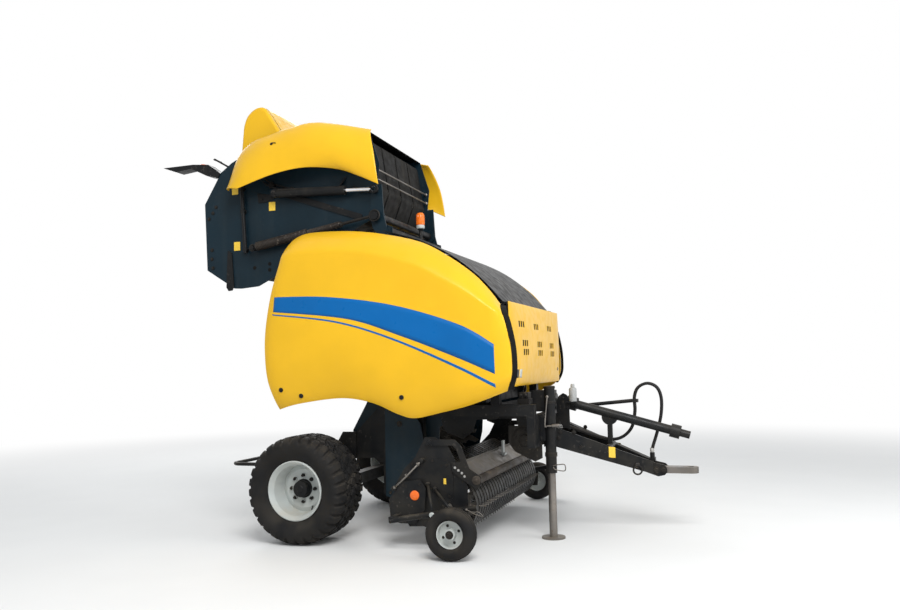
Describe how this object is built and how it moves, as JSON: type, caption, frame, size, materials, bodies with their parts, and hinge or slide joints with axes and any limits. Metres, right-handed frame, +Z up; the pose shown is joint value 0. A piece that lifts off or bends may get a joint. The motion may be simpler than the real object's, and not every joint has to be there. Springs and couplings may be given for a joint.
{
  "type": "round baler",
  "caption": "Towed round baler with a belt chamber, raised tailgate, tined pickup with windguard, side shields, drawbar and parking jack.",
  "frame": {"origin": "on the floor, at the middle of the whole machine's length and width", "axes": "+X forward to the hitch eye, +Y to the machine's left, +Z up"},
  "size_m": [4.7542, 2.95, 3.8677],
  "materials": {
    "yellow_paint": "semi-gloss, dusty",
    "black_paint": "satin, dusty",
    "slate_paint": "satin",
    "rim_paint": "satin, dusty",
    "bare_steel": "worn bright",
    "rod_chrome": "polished",
    "brown_steel": "dull, weathered",
    "tyre_rubber": "dusty",
    "belt_rubber": "matt",
    "guard_plastic": "matt",
    "beacon_orange": "gloss"
  },
  "bodies": {
    "frame": {"axle": "black_paint", "chassis": "black_paint", "side_wall_right": "slate_paint", "side_wall_left": "slate_paint", "cross_sheets": "black_paint", "side_covers": "slate_paint", "drawbar": "black_paint", "hitch_eye": "bare_steel", "gearbox": "black_paint", "drive_shaft": "guard_plastic", "hose_arm": "black_paint", "hose_right": "belt_rubber", "hose_left": "belt_rubber", "jack_tube": "black_paint", "feed_floor": "bare_steel", "chamber_rollers": "bare_steel", "front_belts": "belt_rubber", "net_box": "black_paint", "top_cover": "black_paint", "chain_drive": "bare_steel", "beacon": "beacon_orange"},
    "jack": {"jack_leg": "bare_steel"},
    "rotor": {"feed_rotor": "bare_steel"},
    "front_door": {"front_panel": "yellow_paint"},
    "shield_right_door": {"shield_right": "yellow_paint"},
    "shield_left_door": {"shield_left": "yellow_paint"},
    "ramp": {"bale_ramp": "black_paint"},
    "gate": {"gate_side_right": "slate_paint", "gate_side_left": "slate_paint", "gate_frame": "black_paint", "gate_rollers": "bare_steel", "gate_belts": "belt_rubber", "gate_locks": "black_paint", "gate_panel_right": "yellow_paint", "gate_panel_left": "yellow_paint", "gate_hood": "yellow_paint", "gate_springs": "brown_steel", "gate_lamps": "black_paint"},
    "cylinder_right": {"gate_cylinder_right": "black_paint"},
    "cylinder_left": {"gate_cylinder_left": "black_paint"},
    "rod_right": {"gate_rod_right": "rod_chrome"},
    "rod_left": {"gate_rod_left": "rod_chrome"},
    "wheel_right": {"tyre_right": "tyre_rubber", "rim_right": "rim_paint"},
    "wheel_left": {"tyre_left": "tyre_rubber", "rim_left": "rim_paint"},
    "pickup": {"pickup_frame": "black_paint", "pickup_bands": "black_paint"},
    "reel": {"pickup_reel": "bare_steel"},
    "guard": {"windguard": "brown_steel"},
    "gauge_right": {"gauge_tyre_right": "tyre_rubber", "gauge_rim_right": "rim_paint"},
    "gauge_left": {"gauge_tyre_left": "tyre_rubber", "gauge_rim_left": "rim_paint"}
  },
  "joints": [
    {"name": "wheel_right_spin", "type": "hinge", "parent": "frame", "child": "wheel_right", "pos_m": [-0.68287, -1.01, 0.432], "axis": [0, 1, 0], "continuous": true},
    {"name": "wheel_left_spin", "type": "hinge", "parent": "frame", "child": "wheel_left", "pos_m": [-0.68287, 1.01, 0.432], "axis": [0, 1, 0], "continuous": true},
    {"name": "gate_hinge", "type": "hinge", "parent": "frame", "child": "gate", "pos_m": [-0.17287, 0, 2.7], "axis": [0, -1, 0], "range_deg": [0, 65]},
    {"name": "cylinder_right_hinge", "type": "hinge", "parent": "gate", "child": "cylinder_right", "pos_m": [-1.13304, -0.699, 2.97498], "axis": [0, -1, 0], "range_deg": [-6.2, 0.2]},
    {"name": "rod_right_slide", "type": "slide", "parent": "cylinder_right", "child": "rod_right", "axis": [0.9989, 0, -0.0468], "range_m": [0, 0.2225]},
    {"name": "cylinder_left_hinge", "type": "hinge", "parent": "gate", "child": "cylinder_left", "pos_m": [-1.13304, 0.699, 2.97498], "axis": [0, -1, 0], "range_deg": [-6.2, 0.2]},
    {"name": "rod_left_slide", "type": "slide", "parent": "cylinder_left", "child": "rod_left", "axis": [0.9989, 0, -0.0468], "range_m": [0, 0.2225]},
    {"name": "front_door_hinge", "type": "hinge", "parent": "frame", "child": "front_door", "pos_m": [1.02113, 0, 1.894], "axis": [0, -1, 0], "range_deg": [0, 80]},
    {"name": "shield_right_hinge", "type": "hinge", "parent": "frame", "child": "shield_right_door", "pos_m": [0.00713, -0.93, 2.45], "axis": [-1, 0, 0], "range_deg": [0, 70]},
    {"name": "shield_left_hinge", "type": "hinge", "parent": "frame", "child": "shield_left_door", "pos_m": [0.00713, 0.93, 2.45], "axis": [1, 0, 0], "range_deg": [0, 70]},
    {"name": "ramp_hinge", "type": "hinge", "parent": "frame", "child": "ramp", "pos_m": [-0.81287, 0, 0.56], "axis": [0, -1, 0], "range_deg": [0, 15]},
    {"name": "rotor_spin", "type": "hinge", "parent": "frame", "child": "rotor", "pos_m": [0.09213, 0, 0.765], "axis": [0, 1, 0], "continuous": true},
    {"name": "pickup_lift", "type": "hinge", "parent": "frame", "child": "pickup", "pos_m": [0.09213, 0, 0.765], "axis": [0, -1, 0], "range_deg": [0, 15]},
    {"name": "reel_spin", "type": "hinge", "parent": "pickup", "child": "reel", "pos_m": [0.56213, 0, 0.32], "axis": [0, 1, 0], "continuous": true},
    {"name": "guard_hinge", "type": "hinge", "parent": "pickup", "child": "guard", "pos_m": [0.41713, 0, 0.81], "axis": [0, -1, 0], "range_deg": [0, 20]},
    {"name": "gauge_right_spin", "type": "hinge", "parent": "pickup", "child": "gauge_right", "pos_m": [0.69713, -1.4, 0.19], "axis": [0, 1, 0], "continuous": true},
    {"name": "gauge_left_spin", "type": "hinge", "parent": "pickup", "child": "gauge_left", "pos_m": [0.69713, 1.4, 0.19], "axis": [0, 1, 0], "continuous": true},
    {"name": "jack_slide", "type": "slide", "parent": "frame", "child": "jack", "axis": [0, 0, 1], "range_m": [0, 0.42]}
  ],
  "couplings": [
    {"joint": "cylinder_right_hinge", "follows": "gate_hinge", "ratio": -0.09181},
    {"joint": "rod_right_slide", "follows": "gate_hinge", "m_per_rad": 0.19467},
    {"joint": "cylinder_left_hinge", "follows": "gate_hinge", "ratio": -0.09181},
    {"joint": "rod_left_slide", "follows": "gate_hinge", "m_per_rad": 0.19467}
  ]
}
